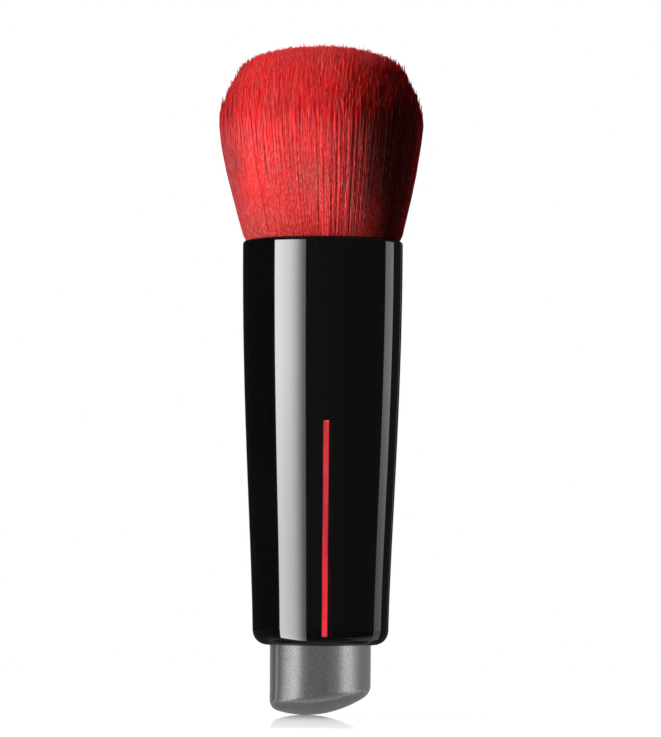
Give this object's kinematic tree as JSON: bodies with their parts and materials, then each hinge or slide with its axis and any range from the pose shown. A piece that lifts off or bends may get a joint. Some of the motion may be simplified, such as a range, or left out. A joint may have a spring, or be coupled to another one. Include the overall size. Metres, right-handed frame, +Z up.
{
  "type": "face brush",
  "caption": "Double-ended face brush: full fibre head trimmed like a cut gem, tapered black barrel with a slim red line, and a soft domed tip at the foot.",
  "frame": {"origin": "on the brush's long axis, level with the lowest point of the soft tip", "axes": "+Z up the long axis towards the fibre head; the front with the red line faces -Y; the tip's end slants up towards +X"},
  "size_m": [0.038, 0.038, 0.1252],
  "materials": {
    "barrel": "high-gloss black lacquer over moulded plastic",
    "front_line": "glossy red inlay",
    "soft_tip": "satin silver-grey elastomer",
    "tip_cushion": "soft filling, not seen",
    "inner_plastic": "moulded, not seen",
    "weight_rod": "turned steel, not seen",
    "rod_washer": "foam, not seen",
    "fibre_cup": "moulded black",
    "root_adhesive": "cured adhesive, not seen",
    "root_band": "plain, not seen",
    "bristle_head": "fine red synthetic fibre"
  },
  "bodies": {
    "root": {"barrel": "barrel", "front_line": "front_line", "soft_tip": "soft_tip", "tip_cushion": "tip_cushion", "tip_core": "inner_plastic", "liner": "inner_plastic", "weight_rod": "weight_rod", "rod_washer": "rod_washer", "fibre_cup": "fibre_cup", "root_adhesive": "root_adhesive", "root_band": "root_band", "bristle_head": "bristle_head"}
  },
  "joints": []
}
